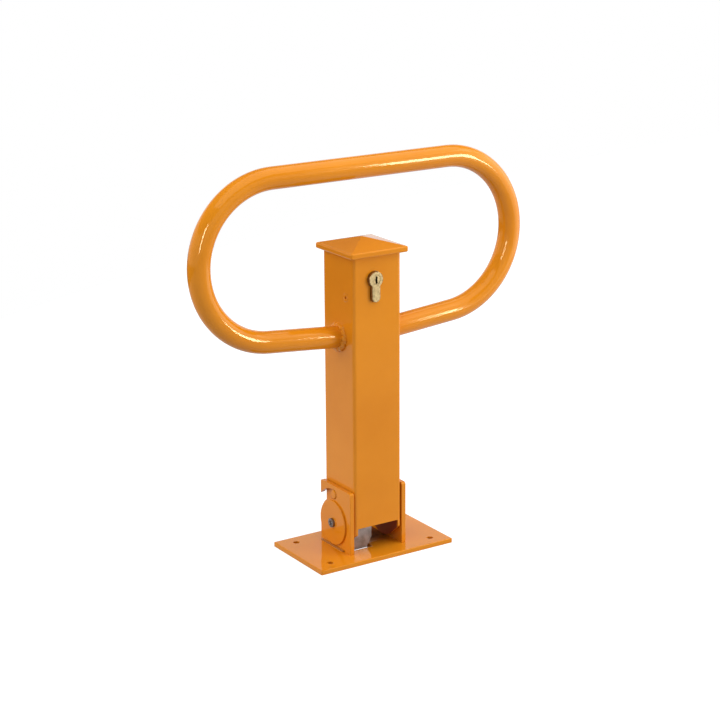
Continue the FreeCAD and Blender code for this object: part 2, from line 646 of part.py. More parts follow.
def make_locking_bar():
    """Flat bar with a chamfered tip, a shoulder for the spring and a notch for the cam."""
    tip_r = CAM_LEVER / 2
    lever_rise = (CAM_RADIUS - tip_r) * math.sin(math.radians(CAM_SWING_DEG / 2)) + tip_r
    notch_top = LOCK_Z + lever_rise + BAR_CAM_CLEAR
    notch_low = LOCK_Z - lever_rise - BAR_CAM_CLEAR + BAR_TRAVEL
    notch_x = LOCK_X - CAM_RADIUS - BAR_NOTCH_BACK
    top = notch_top + BAR_TOP_ARM

    def at(x, z):
        return vec(x, BAR_FRONT_Y, z)

    bar = polygon_face([
        at(BAR_LEFT_X, BAR_TIP_Z),
        at(BAR_RIGHT_X - BAR_CHAMFER_X, BAR_TIP_Z),
        at(BAR_RIGHT_X, BAR_TIP_Z + BAR_CHAMFER_Z),
        at(BAR_RIGHT_X, BAR_SHOULDER_Z),
        at(BAR_NECK_X, BAR_SHOULDER_Z),
        at(BAR_NECK_X, notch_low),
        at(notch_x, notch_low),
        at(notch_x, notch_top),
        at(BAR_NECK_X, notch_top),
        at(BAR_NECK_X, top),
        at(BAR_LEFT_X, top),
    ]).extrude(vec(0, BAR_THICK, 0))
    # The fixing screw passes through an upright slot that leaves room for the bar's travel
    slot_r = FIXING_SCREW_DIA / 2 + FIXING_CLEAR
    slot_low = rod_x(slot_r, BAR_LEFT_X - PAST, BAR_NECK_X + PAST, CAM_Y, FIXING_Z)
    slot_high = rod_x(slot_r, BAR_LEFT_X - PAST, BAR_NECK_X + PAST, CAM_Y, FIXING_Z + BAR_TRAVEL)
    slot_mid = block(BAR_LEFT_X - PAST, BAR_NECK_X + PAST, CAM_Y - slot_r, CAM_Y + slot_r,
                     FIXING_Z, FIXING_Z + BAR_TRAVEL)
    bar = bar.cut(slot_low.fuse([slot_high, slot_mid]))
    return bar.cut(rod_z(PEG_R + PEG_PRESS_GAP, BAR_SHOULDER_Z - PEG_SEATED,
                         BAR_SHOULDER_Z + PAST, SPRING_X, CAM_Y))


def make_spring_peg():
    """Round-ended peg pressed into the bar's shoulder."""
    peg = rod_z(PEG_R, BAR_SHOULDER_Z - PEG_SEATED, BAR_SHOULDER_Z + PEG_PROUD, SPRING_X, CAM_Y)
    top = [edge for edge in peg.Edges if edge.BoundBox.ZMin > BAR_SHOULDER_Z + PEG_PROUD - LEVEL_TOL]
    return peg.makeFillet(PEG_R / 2, top)


def make_bar_spring():
    """Compression spring of flat wire with ends ground flat."""
    pitch = SPRING_LENGTH / SPRING_TURNS
    coil = Part.makeHelix(pitch, SPRING_LENGTH + 2 * SPRING_WIRE_HEIGHT, SPRING_MEAN_R)
    inner = SPRING_MEAN_R - SPRING_WIRE / 2
    outer = SPRING_MEAN_R + SPRING_WIRE / 2
    half = SPRING_WIRE_HEIGHT / 2
    section = Part.makePolygon([vec(inner, 0, -half), vec(outer, 0, -half), vec(outer, 0, half),
                                vec(inner, 0, half), vec(inner, 0, -half)])
    spring = Part.Wire(coil.Edges).makePipeShell([section], True, True)
    spring.translate(vec(SPRING_X, CAM_Y, BAR_SHOULDER_Z - SPRING_WIRE_HEIGHT))
    keep = rod_z(outer + PAST, BAR_SHOULDER_Z, BAR_SHOULDER_Z + SPRING_LENGTH, SPRING_X, CAM_Y)
    return spring.common(keep)


def make_bar_guide(z):
    """Plate welded inside the post, notched round the bar."""
    back = BAR_BACK_Y + GUIDE_CLEAR + GUIDE_BACK
    plate = block(-POST_INNER, POST_INNER, -POST_INNER, back, z, z + GUIDE_THICK)
    front_corners = [edge for edge in edges_along(plate, Z_AXIS)
                     if edge.BoundBox.YMax < -POST_INNER + LEVEL_TOL]
    plate = plate.makeChamfer(GUIDE_CORNER, front_corners)
    return plate.cut(block(-POST_INNER - PAST, BAR_RIGHT_X + GUIDE_CLEAR,
                           BAR_FRONT_Y - GUIDE_CLEAR, BAR_BACK_Y + GUIDE_CLEAR,
                           z - PAST, z + GUIDE_THICK + PAST))


def make_spring_seat():
    """Plate welded beside the bar's neck that the spring pushes against."""
    back = BAR_BACK_Y + GUIDE_CLEAR + GUIDE_BACK
    seat = block(BAR_NECK_X + GUIDE_CLEAR, POST_INNER, -POST_INNER, back,
                 SPRING_SEAT_Z, SPRING_SEAT_Z + SPRING_SEAT_THICK)
    front_right = [edge for edge in edges_along(seat, Z_AXIS)
                   if edge.BoundBox.YMax < -POST_INNER + LEVEL_TOL
                   and edge.BoundBox.XMin > POST_INNER - LEVEL_TOL]
    return seat.makeChamfer(GUIDE_CORNER, front_right)


def save(name, shape):
    """Write one sub-part, after making sure that it is a sound solid."""
    if not shape.isValid() or not shape.Solids:
        raise ValueError(name + " is not a sound solid")
    shape.exportStep(os.path.join("parts", name + ".step"))


def main():
    os.makedirs("parts", exist_ok=True)
    right_ear = make_right_ear()
    right_disc = make_right_disc()
    right_screw = make_right_axle_screw()
    right_bush = make_right_bush()
    save("base_plate", make_base_plate())
    save("left_ear", mirror_x(right_ear))
    save("right_ear", right_ear)
    save("hinge_axle", make_hinge_axle())
    save("left_axle_disc", mirror_x(right_disc))
    save("right_axle_disc", right_disc)
    save("axle_screws", Part.makeCompound([mirror_x(right_screw), right_screw]))
    save("post_tube", make_post_tube())
    save("post_cap", make_post_cap())
    save("hoop", make_hoop())
    save("hinge_sleeve", make_hinge_sleeve())
    save("left_hinge_bush", mirror_x(right_bush))
    save("right_hinge_bush", right_bush)
    save("stop_pin", make_stop_pin())
    save("lock_bracket", make_lock_bracket())
    save("cylinder_body", make_cylinder_body())
    save("cylinder_screw", make_cylinder_screw())
    save("cylinder_plug", make_cylinder_plug())
    save("cylinder_cam", make_cylinder_cam())
    save("locking_bar", make_locking_bar())
    save("lower_bar_guide", make_bar_guide(LOWER_GUIDE_Z))
    save("upper_bar_guide", make_bar_guide(UPPER_GUIDE_Z))
    save("spring_seat", make_spring_seat())
    save("spring_peg", make_spring_peg())
    save("bar_spring", make_bar_spring())


main()
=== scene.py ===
import logging
import math
from dataclasses import dataclass
from enum import Enum
from typing import Dict, Sequence, Tuple, Union

import bmesh
import bpy
from mathutils import Matrix, Vector


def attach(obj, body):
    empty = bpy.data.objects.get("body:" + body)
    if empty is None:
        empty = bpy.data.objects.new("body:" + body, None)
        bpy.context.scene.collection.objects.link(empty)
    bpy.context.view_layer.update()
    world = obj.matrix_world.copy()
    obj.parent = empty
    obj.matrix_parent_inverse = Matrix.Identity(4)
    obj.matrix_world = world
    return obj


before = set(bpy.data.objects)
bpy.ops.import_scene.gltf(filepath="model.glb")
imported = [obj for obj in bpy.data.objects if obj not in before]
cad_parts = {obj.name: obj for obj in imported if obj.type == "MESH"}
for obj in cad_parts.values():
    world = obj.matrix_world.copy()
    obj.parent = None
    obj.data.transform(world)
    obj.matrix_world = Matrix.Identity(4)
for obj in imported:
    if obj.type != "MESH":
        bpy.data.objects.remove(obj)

LOG = logging.getLogger("parking_lock")
MM = 0.001
MERGE = 1e-6
NOISE_SPAN = (0.3, 0.7)
EDGE_SAMPLES = 4
RISE = (0.0, 1.0)
FALL = (1.0, 0.0)
WHITE = (1.0, 1.0, 1.0, 1.0)

Colour = Tuple[float, float, float]
Point = Tuple[float, float, float]
Pair = Tuple[float, float]
Socket = bpy.types.NodeSocket
Value = Union[float, Socket]


class Slot(Enum):
    """Material slots of the record."""

    ORANGE = "orange_paint"
    ZINC = "zinc_steel"
    STEEL = "bare_steel"
    BRONZE = "bush_bronze"
    NICKEL = "nickel_brass"


class Body(Enum):
    """Bodies that the new pieces ride on."""

    BASE = "base"
    POST = "post"


class Side(Enum):
    """Left and right as the key side is faced."""

    LEFT = -1
    RIGHT = 1


class NodeTree:
    """A node tree, built up a node at a time."""

    def __init__(self, tree: bpy.types.NodeTree) -> None:
        """Empty the tree.

        Args:
            tree: the tree to fill.
        """
        self.tree = tree
        self.tree.nodes.clear()

    def node(self, kind: str) -> bpy.types.Node:
        """Add one node of a kind and return it."""
        return self.tree.nodes.new(kind)

    def link(self, source: Socket, target: Socket) -> None:
        """Join two sockets."""
        self.tree.links.new(source, target)

    def feed(self, value: Value, target: Socket) -> None:
        """Give a socket a plain value or another socket's."""
        if isinstance(value, float):
            target.default_value = value
        else:
            self.link(value, target)

    def math(self, operation: str, first: Value, second: Value = 0.0) -> Socket:
        """Work out a value from one or two others.

        Args:
            operation: what to do with them.
            first: one value.
            second: the other, where there is one.

        Returns:
            The result's socket.
        """
        math_node = self.node("ShaderNodeMath")
        math_node.operation = operation
        self.feed(first, math_node.inputs[0])
        self.feed(second, math_node.inputs[1])
        return math_node.outputs["Value"]

    def blend(self, share: Socket, first: Value, second: Value) -> Socket:
        """Go from one value to another.

        Args:
            share: 0 for the first, 1 for the second.
            first: one value.
            second: the other.

        Returns:
            The result's socket.
        """
        blend = self.node("ShaderNodeMix")
        self.feed(share, blend.inputs["Factor"])
        self.feed(first, blend.inputs["A"])
        self.feed(second, blend.inputs["B"])
        return blend.outputs["Result"]

    def level(self, value: Socket, span: Pair, result: Pair, smooth: bool = True) -> Socket:
        """Map a value from one span to another.

        Args:
            value: what is mapped.
            span: its low and high end.
            result: what those become.
            smooth: whether the change eases in and out.

        Returns:
            The mapped value's socket.
        """
        level = self.node("ShaderNodeMapRange")
        level.interpolation_type = "SMOOTHSTEP" if smooth else "LINEAR"
        for name, number in zip(("From Min", "From Max", "To Min", "To Max"), span + result):
            level.inputs[name].default_value = number
        self.link(value, level.inputs["Value"])
        return level.outputs["Result"]


class Shader(NodeTree):
    """A node material with one Principled shader."""

    def __init__(self, name: str) -> None:
        """Start an empty material.

        Args:
            name: the material's name.
        """
        self.material = bpy.data.materials.new(name)
        self.material.use_nodes = True
        super().__init__(self.material.node_tree)
        self.output = self.node("ShaderNodeOutputMaterial")
        self.surface = self.node("ShaderNodeBsdfPrincipled")
        self.link(self.surface.outputs["BSDF"], self.output.inputs["Surface"])
        self.place = self.node("ShaderNodeTexCoord").outputs["Object"]

    def set(self, **values: Union[float, Sequence[float]]) -> None:
        """Set plain values on the shader's own sockets.

        Args:
            values: socket names, with underscores for spaces, and their values.
        """
        for name, value in values.items():
            self.surface.inputs[name.replace("_", " ")].default_value = value

    def parts(self) -> Sequence[Socket]:
        """Take the object coordinates apart and return their three sockets."""
        parts = self.node("ShaderNodeSeparateXYZ")
        self.link(self.place, parts.inputs["Vector"])
        return parts.outputs[:]

    def tint(self, share: Socket, first: Socket, last: Colour) -> Socket:
        """Go from a colour to a plain one.

        Args:
            share: 0 for the first colour, 1 for the last.
            first: the first colour's socket.
            last: the last colour.

        Returns:
            The colour socket.
        """
        mix = self.node("ShaderNodeMix")
        mix.data_type = "RGBA"
        factor, start, end = [socket for socket in mix.inputs if socket.enabled]
        self.link(share, factor)
        self.link(first, start)
        end.default_value = (*last, 1.0)
        return next(socket for socket in mix.outputs if socket.enabled)

    def noise(self, scale: float, detail: float = 3.0, rough: float = 0.55,
              stretch: Point = (1.0, 1.0, 1.0)) -> Socket:
        """Add noise in object coordinates.

        Args:
            scale: spots per metre.
            detail: octaves.
            rough: weight of the finer octaves.
            stretch: scale along each axis, for a brushed grain.

        Returns:
            The noise's value socket.
        """
        mapping = self.node("ShaderNodeMapping")
        mapping.inputs["Scale"].default_value = stretch
        self.link(self.place, mapping.inputs["Vector"])
        noise = self.node("ShaderNodeTexNoise")
        noise.inputs["Scale"].default_value = scale
        noise.inputs["Detail"].default_value = detail
        noise.inputs["Roughness"].default_value = rough
        self.link(mapping.outputs["Vector"], noise.inputs["Vector"])
        return noise.outputs["Fac"]

    def ramp(self, value: Socket, span: Pair, first: Colour, last: Colour) -> Socket:
        """Turn a value into a colour.

        Args:
            value: what drives the colour.
            span: values at which the first colour ends and the last one starts.
            first: linear colour below the span.
            last: linear colour above it.

        Returns:
            The colour socket.
        """
        ramp = self.node("ShaderNodeValToRGB")
        start, end = ramp.color_ramp.elements
        start.position, end.position = span
        start.color = (*first, 1.0)
        end.color = (*last, 1.0)
        self.link(value, ramp.inputs["Fac"])
        return ramp.outputs["Color"]

    def spread(self, value: Socket, result: Pair) -> Socket:
        """Stretch a noise value from its usual span over another.

        Args:
            value: the noise.
            result: what the noise's low and high end become.

        Returns:
            The stretched value's socket.
        """
        return self.level(value, NOISE_SPAN, result, smooth=False)

    def soft_edge(self, radius: float) -> Socket:
        """Round the look of sharp edges.

        Args:
            radius: how far from an edge the rounding starts, in metres.

        Returns:
            The rounded normal's socket.
        """
        bevel = self.node("ShaderNodeBevel")
        bevel.samples = EDGE_SAMPLES
        bevel.inputs["Radius"].default_value = radius
        return bevel.outputs["Normal"]

    def bump(self, layers: Sequence[Tuple[Socket, float, float]], normal: Socket) -> None:
        """Stack bumps and give them to the shader.

        Args:
            layers: height socket, strength and height in metres of each layer.
            normal: the normal that the first layer starts from.
        """
        for height, strength, distance in layers:
            bump = self.node("ShaderNodeBump")
            bump.inputs["Strength"].default_value = strength
            bump.inputs["Distance"].default_value = distance
            self.link(height, bump.inputs["Height"])
            self.link(normal, bump.inputs["Normal"])
            normal = bump.outputs["Normal"]
        self.link(normal, self.surface.inputs["Normal"])


@dataclass(frozen=True)
class PowderCoat:
    """Gloss powder coat with a fine orange peel and faint drifts of tone.

    It doesn't reach into the post, where brown primer shows, darkened as painted shade. Painted
    shade also darkens the ears' welds and the plate under the post.
    """

    # Paint
    deep: Colour = (0.70, 0.222, 0.006)
    pale: Colour = (0.77, 0.262, 0.010)
    drift_scale: float = 9.0
    drift_detail: float = 4.0
    drift_span: Pair = (0.32, 0.68)
    gloss: Pair = (0.05, 0.09)
    gloss_scale: float = 27.0
    gloss_detail: float = 2.0
    ior: float = 1.5
    sheen: Colour = (1.0, 0.86, 0.52)
    # Long waves and orange peel
    relief_detail: float = 1.0
    wave_scale: float = 55.0
    wave_strength: float = 0.25
    wave_height: float = 0.00012
    peel_scale: float = 420.0
    peel_strength: float = 0.35
    peel_height: float = 0.000035
    edge_r: float = 0.0007
    # Primer inside the post, darkened as painted shade; spans in metres from the frame's origin
    primer_and_shade: Colour = (0.34, 0.056, 0.014)
    primer_and_shade_rough: float = 0.5
    inner_half: Pair = (0.0275, 0.0281)
    inner_top: Pair = (0.18, 0.20)
    plate_top: Pair = (0.0052, 0.0056)
    # Painted shade on the ears' welds
    weld_toe_shade: Colour = (0.36, 0.105, 0.004)
    weld_across: Pair = (0.0362, 0.0366)
    weld_height: Pair = (0.0066, 0.0084)
    # Matt painted shade on the plate under the post
    under_post_shade: Colour = (0.15, 0.030, 0.005)
    under_post_shade_rough: float = 0.95
    under_post_shade_scale: float = 160.0
    under_post_shade_share: Pair = (0.75, 1.0)
    under_across: Pair = (0.0300, 0.0309)
    under_front: Pair = (-0.018, 0.008)
    under_rear: Pair = (0.030, 0.042)

    def make(self) -> bpy.types.Material:
        """Build the material and return it."""
        shader = Shader(Slot.ORANGE.value)
        inside, toe_shade, under = self.masks(shader)
        drift = shader.noise(self.drift_scale, self.drift_detail)
        paint = shader.ramp(drift, self.drift_span, self.deep, self.pale)
        # The welds' toes, the plate under the post and the post's inside are darkened here as
        # painted shade
        for share, colour in ((toe_shade, self.weld_toe_shade), (under, self.under_post_shade), (inside, self.primer_and_shade)):
            paint = shader.tint(share, paint, colour)
        shader.link(paint, shader.surface.inputs["Base Color"])
        rough = shader.spread(shader.noise(self.gloss_scale, self.gloss_detail), self.gloss)
        for share, value in ((inside, self.primer_and_shade_rough), (under, self.under_post_shade_rough)):
            rough = shader.blend(share, rough, value)
        shader.link(rough, shader.surface.inputs["Roughness"])
        wave = shader.noise(self.wave_scale, self.relief_detail)
        peel = shader.noise(self.peel_scale, self.relief_detail)
        shader.bump([(wave, self.wave_strength, self.wave_height),
                     (peel, self.peel_strength, self.peel_height)], shader.soft_edge(self.edge_r))
        shader.set(IOR=self.ior, Specular_Tint=(*self.sheen, 1.0))
        return shader.material

    def masks(self, shader: Shader) -> Tuple[Socket, Socket, Socket]:
        """Find the painted shade: inside the post, on the ears' welds and on the plate under the
        post.

        Args:
            shader: the material being built.

        Returns:
            Three sockets, 1 in the post, 1 on the ears' welds and 1 on the plate under the post.
        """
        x, y, z = shader.parts()
        across = shader.math("ABSOLUTE", x)
        reach = shader.math("MAXIMUM", across, shader.math("ABSOLUTE", y))
        above = shader.level(z, self.plate_top, RISE)
        # Inside the post: brown primer, made darker as painted shade of the foot's interior
        inside = shader.math("MULTIPLY", above, shader.level(reach, self.inner_half, FALL))
        inside = shader.math("MULTIPLY", inside, shader.level(z, self.inner_top, FALL))
        # Painted shade low on the ears' outer sides, along their welds
        low = shader.math("MULTIPLY", above, shader.level(z, self.weld_height, FALL))
        toe_shade = shader.math("MULTIPLY", low, shader.level(across, self.weld_across, RISE))
        # Painted shade on the plate under the post, made patchy by noise
        under = shader.spread(shader.noise(self.under_post_shade_scale), self.under_post_shade_share)
        for share in (shader.level(z, self.plate_top, FALL),
                      shader.level(across, self.under_across, FALL),
                      shader.level(y, self.under_front, RISE),
                      shader.level(y, self.under_rear, FALL)):
            under = shader.math("MULTIPLY", under, share)
        return inside, toe_shade, under


@dataclass(frozen=True)
class Metal:
    """Bare or plated metal with a grain, faint stains and fine scratches."""

    slot: Slot
    dark: Colour
    light: Colour
    rough: Pair
    stain_scale: float = 60.0
    stain_detail: float = 5.0
    stain_span: Pair = (0.34, 0.66)
    grain_scale: float = 900.0
    grain_detail: float = 3.0
    grain_weight: float = 0.6
    grain_stretch: Point = (1.0, 1.0, 1.0)
    grain_strength: float = 0.3
    grain_height: float = 0.00002
    edge_r: float = 0.0003

    def make(self) -> bpy.types.Material:
        """Build the material and return it."""
        shader = Shader(self.slot.value)
        stain = shader.noise(self.stain_scale, self.stain_detail)
        shader.link(shader.ramp(stain, self.stain_span, self.dark, self.light),
                    shader.surface.inputs["Base Color"])
        grain = shader.noise(self.grain_scale, self.grain_detail, self.grain_weight,
                             self.grain_stretch)
        shader.link(shader.spread(grain, self.rough), shader.surface.inputs["Roughness"])
        shader.bump([(grain, self.grain_strength, self.grain_height)],
                    shader.soft_edge(self.edge_r))
        shader.set(Metallic=1.0)
        return shader.material


Finish = Union[PowderCoat, Metal]

FINISHES: Dict[Slot, Finish] = {
    Slot.ORANGE: PowderCoat(),
    Slot.ZINC: Metal(Slot.ZINC, dark=(0.20, 0.175, 0.165), light=(0.33, 0.295, 0.285),
                     rough=(0.30, 0.46), stain_scale=140.0, grain_stretch=(1.0, 1.0, 0.15)),
    Slot.STEEL: Metal(Slot.STEEL, dark=(0.30, 0.29, 0.28), light=(0.46, 0.45, 0.44),
                      rough=(0.32, 0.50)),
    Slot.BRONZE: Metal(Slot.BRONZE, dark=(0.40, 0.23, 0.08), light=(0.55, 0.34, 0.14),
                       rough=(0.38, 0.55), stain_scale=300.0, grain_scale=1800.0),
    Slot.NICKEL: Metal(Slot.NICKEL, dark=(0.26, 0.19, 0.09), light=(0.48, 0.365, 0.185),
                       rough=(0.28, 0.44), stain_scale=420.0, grain_scale=1500.0,
                       grain_stretch=(1.0, 1.0, 0.3)),
}


class Workshop:
    """Makes each finish once, and puts finishes on nodes and new pieces."""

    def __init__(self) -> None:
        """Make every finish."""
        self.materials = {slot: finish.make() for slot, finish in FINISHES.items()}

    def dress(self, node: str, slot: Slot) -> None:
        """Put a finish on a node of the frame.

        Args:
            node: the node's name.
            slot: which finish.
        """
        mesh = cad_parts[node].data
        mesh.materials.clear()
        mesh.materials.append(self.materials[slot])
        LOG.info("dressed %s in %s", node, slot.value)

    def add(self, name: str, shape: bmesh.types.BMesh, body: Body, slot: Slot) -> None:
        """Make a new piece out of a bmesh.

        Args:
            name: the piece's name.
            shape: its mesh, in the frame's metres, freed here.
            body: the body that it rides on.
            slot: its finish.
        """
        bmesh.ops.remove_doubles(shape, verts=shape.verts, dist=MERGE)
        bmesh.ops.recalc_face_normals(shape, faces=shape.faces)
        mesh = bpy.data.meshes.new(name)
        shape.to_mesh(mesh)
        shape.free()
        mesh.shade_smooth()
        mesh.materials.append(self.materials[slot])
        piece = bpy.data.objects.new(name, mesh)
        bpy.context.scene.collection.objects.link(piece)
        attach(piece, body.value)
        LOG.info("made %s on %s", name, body.value)


def ripple(position: float, pitch: float, sharp: float = 0.5) -> float:
    """Height of a weld's run of overlapping drops.

    Args:
        position: distance along the weld.
        pitch: distance between drops.
        sharp: how pointed the valleys are.

    Returns:
        A value from 0 in a valley to 1 on a drop.
    """
    return abs(math.cos(math.pi * position / pitch)) ** sharp


@dataclass
class Base:
    """Plate, ears, axle and its discs, with the ears' welds in millimetres."""

    weld_low: Point = (36.0, -18.0, 5.0)
    weld_length: float = 45.0
    weld_leg: float = 2.75
    weld_pitch: float = 3.2
    weld_dip: float = 0.22
    weld_bow: float = 0.12
    weld_stub: float = 0.25
    weld_rings: int = 90
    weld_sides: int = 16
    painted: Tuple[str, ...] = ("base_plate", "left_ear", "right_ear", "left_axle_disc",
                                "right_axle_disc")

    def build(self, workshop: Workshop) -> None:
        """Make the rippled fillet welds along the ears' feet.

        Args:
            workshop: where pieces are made.
        """
        for side in Side:
            name = "%s_ear_weld" % side.name.lower()
            workshop.add(name, self.weld(side), Body.BASE, Slot.ORANGE)

    def weld(self, side: Side) -> bmesh.types.BMesh:
        """Model one fillet weld.

        Args:
            side: which ear.

        Returns:
            The weld's mesh.
        """
        shape = bmesh.new()
        bmesh.ops.create_cone(shape, cap_ends=True, segments=self.weld_sides, radius1=self.weld_leg,
                              radius2=self.weld_leg, depth=self.weld_length)
        half = self.weld_length / 2
        upright = [edge for edge in shape.edges
                   if abs(edge.verts[0].co.z - edge.verts[1].co.z) > half]
        bmesh.ops.subdivide_edges(shape, edges=upright, cuts=self.weld_rings)
        for vert in shape.verts:
            along = vert.co.z
            end = min(1.0, (half - abs(along)) / self.weld_leg + self.weld_stub)
            drop = ripple(along + self.weld_bow * vert.co.x ** 2, self.weld_pitch)
            size = (1 - self.weld_dip * (1 - drop)) * math.sqrt(end)
            vert.co.x *= size
            vert.co.y *= size
        x, y, z = self.weld_low
        bmesh.ops.rotate(shape, verts=shape.verts, cent=(0, 0, 0),
                         matrix=Matrix.Rotation(math.radians(-90), 3, "X"))
        bmesh.ops.translate(shape, verts=shape.verts, vec=(x, y + half, z))
        bmesh.ops.scale(shape, verts=shape.verts, vec=(side.value * MM, MM, MM))
        return shape

    def dress(self, workshop: Workshop) -> None:
        """Put finishes on the base's nodes.

        Args:
            workshop: where finishes are kept.
        """
        for node in self.painted:
            workshop.dress(node, Slot.ORANGE)
        workshop.dress("axle_screws", Slot.ZINC)
        workshop.dress("hinge_axle", Slot.STEEL)


@dataclass
class Post:
    """Square post with its cap, hinge sleeve, bushes, stop pin and hoop, in millimetres."""

    half: float = 30.0
    leg_z: float = 243.24
    droop_deg: float = 5.0
    weld_ring: float = 12.1
    weld_r: float = 4.2
    weld_drops: int = 13
    weld_dip: float = 0.27
    weld_lean: float = 0.05
    # Height, number round the ring and start of each set of lumps
    weld_lumps: Tuple[Tuple[float, int, float], ...] = ((0.05, 3, 1.0), (0.04, 7, 0.4))
    weld_steps: int = 228
    weld_sides: int = 20
    weld_merge: float = 1e-5
    painted: Tuple[str, ...] = ("post_tube", "post_cap", "hoop", "stop_pin", "hinge_sleeve")
    bushes: Tuple[str, ...] = ("left_hinge_bush", "right_hinge_bush")

    def build(self, workshop: Workshop) -> None:
        """Make the rippled welds where the hoop meets the post.

        Args:
            workshop: where pieces are made.
        """
        for side in Side:
            name = "%s_hoop_weld" % side.name.lower()
            workshop.add(name, self.weld(side), Body.POST, Slot.ORANGE)

    def weld(self, side: Side) -> bmesh.types.BMesh:
        """Model one ring weld.

        Args:
            side: which leg of the hoop.

        Returns:
            The weld's mesh.
        """
        shape = bmesh.new()
        bmesh.ops.create_circle(shape, segments=self.weld_sides, radius=self.weld_r)
        bmesh.ops.rotate(shape, verts=shape.verts, cent=(0, 0, 0),
                         matrix=Matrix.Rotation(math.radians(90), 3, "X"))
        bmesh.ops.translate(shape, verts=shape.verts, vec=(self.weld_ring, 0, 0))
        bmesh.ops.spin(shape, geom=shape.verts[:] + shape.edges[:], cent=(0, 0, 0), axis=(0, 0, 1),
                       angle=math.tau, steps=self.weld_steps, use_merge=True)
        bmesh.ops.remove_doubles(shape, verts=shape.verts, dist=self.weld_merge)
        for vert in shape.verts:
            angle = math.atan2(vert.co.y, vert.co.x)
            middle = Vector((math.cos(angle), math.sin(angle), 0)) * self.weld_ring
            lean = self.weld_lean * (vert.co - middle).z
            drop = ripple(angle + lean, math.tau / self.weld_drops)
            lumps = sum(height * math.sin(number * angle + start)
                        for height, number, start in self.weld_lumps)
            swell = 1 - self.weld_dip * (1 - drop) + lumps
            vert.co = middle + (vert.co - middle) * swell
        turn = Matrix.Rotation(math.radians(90 - self.droop_deg), 3, "Y")
        bmesh.ops.rotate(shape, verts=shape.verts, cent=(0, 0, 0), matrix=turn)
        bmesh.ops.translate(shape, verts=shape.verts, vec=(self.half, 0, self.leg_z))
        bmesh.ops.scale(shape, verts=shape.verts, vec=(side.value * MM, MM, MM))
        return shape

    def dress(self, workshop: Workshop) -> None:
        """Put finishes on the post's nodes.

        Args:
            workshop: where finishes are kept.
        """
        for node in self.painted:
            workshop.dress(node, Slot.ORANGE)
        for node in self.bushes:
            workshop.dress(node, Slot.BRONZE)


@dataclass
class Lock:
    """Key cylinder with its bracket, screw and locking bar."""

    cylinder: Tuple[str, ...] = ("cylinder_body", "cylinder_plug", "cylinder_cam")
    works: Tuple[str, ...] = ("lock_bracket", "lower_bar_guide", "upper_bar_guide", "spring_seat",
                              "spring_peg", "bar_spring")

    def dress(self, workshop: Workshop) -> None:
        """Put finishes on the lock's nodes.

        Args:
            workshop: where finishes are kept.
        """
        for node in self.cylinder:
            workshop.dress(node, Slot.NICKEL)
        workshop.dress("cylinder_screw", Slot.ORANGE)
        workshop.dress("locking_bar", Slot.ZINC)
        for node in self.works:
            workshop.dress(node, Slot.STEEL)


